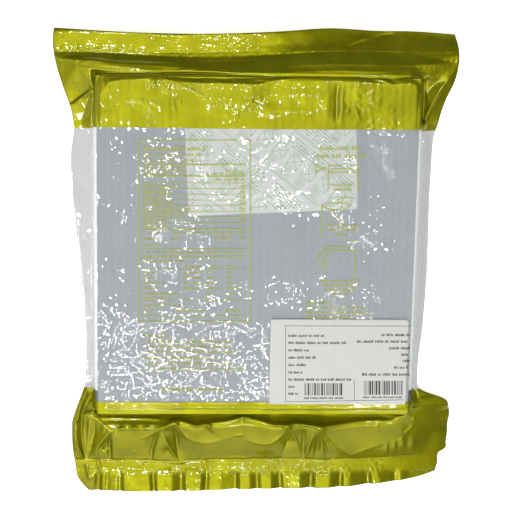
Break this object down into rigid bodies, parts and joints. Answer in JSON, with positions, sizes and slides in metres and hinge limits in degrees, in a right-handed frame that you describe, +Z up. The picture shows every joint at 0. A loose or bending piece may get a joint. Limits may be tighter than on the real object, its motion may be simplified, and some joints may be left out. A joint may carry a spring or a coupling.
{
  "type": "zip-seal pouch of nori sheets",
  "caption": "Flat zip-seal film pouch holding a stack of dried nori sheets, a corrugated backing board and a desiccant sachet, with an adhesive label on its back.",
  "frame": {"origin": "centre of the flat face under the stack of sheets, on which the pouch lies", "axes": "+X across the pouch, +Y along it towards the zip, +Z up out of the back of the pouch"},
  "size_m": [0.2463, 0.2946, 0.0237],
  "materials": {
    "printed_film": "glossy clear film with pearly olive printed bands",
    "front_film": "glossy clear film with olive printed bands",
    "zip_plastic": "translucent polyethylene",
    "board_paper": "matte grey liner paper",
    "flute_paper": "matte grey-brown fluting paper",
    "sachet_paper": "matte white paper with a pale teal print",
    "label_paper": "semi-gloss white label stock",
    "nori": "dry pressed seaweed, dark green with a faint sheen"
  },
  "bodies": {
    "root": {"board_flutes": "flute_paper", "board_inner_liner": "board_paper", "board_outer_liner": "board_paper", "desiccant_sachet": "sachet_paper", "label_sticker": "label_paper", "nori_sheet_01": "nori", "nori_sheet_02": "nori", "nori_sheet_03": "nori", "nori_sheet_04": "nori", "nori_sheet_05": "nori", "nori_sheet_06": "nori", "nori_sheet_07": "nori", "nori_sheet_08": "nori", "nori_sheet_09": "nori", "nori_sheet_10": "nori", "nori_sheet_11": "nori", "nori_sheet_12": "nori", "nori_sheet_13": "nori", "nori_sheet_14": "nori", "nori_sheet_15": "nori", "nori_sheet_16": "nori", "nori_sheet_17": "nori", "nori_sheet_18": "nori", "nori_sheet_19": "nori", "nori_sheet_20": "nori", "nori_sheet_21": "nori", "nori_sheet_22": "nori", "nori_sheet_23": "nori", "nori_sheet_24": "nori", "nori_sheet_25": "nori", "nori_sheet_26": "nori", "nori_sheet_27": "nori", "nori_sheet_28": "nori", "nori_sheet_29": "nori", "nori_sheet_30": "nori", "nori_sheet_31": "nori", "nori_sheet_32": "nori", "nori_sheet_33": "nori", "nori_sheet_34": "nori", "nori_sheet_35": "nori", "nori_sheet_36": "nori", "nori_sheet_37": "nori", "nori_sheet_38": "nori", "nori_sheet_39": "nori", "nori_sheet_40": "nori", "nori_sheet_41": "nori", "nori_sheet_42": "nori", "nori_sheet_43": "nori", "nori_sheet_44": "nori", "nori_sheet_45": "nori", "nori_sheet_46": "nori", "nori_sheet_47": "nori", "nori_sheet_48": "nori", "nori_sheet_49": "nori", "nori_sheet_50": "nori", "pouch_back_film": "printed_film", "pouch_front_film": "front_film", "zip_track_female": "zip_plastic", "zip_track_male": "zip_plastic"}
  },
  "joints": []
}
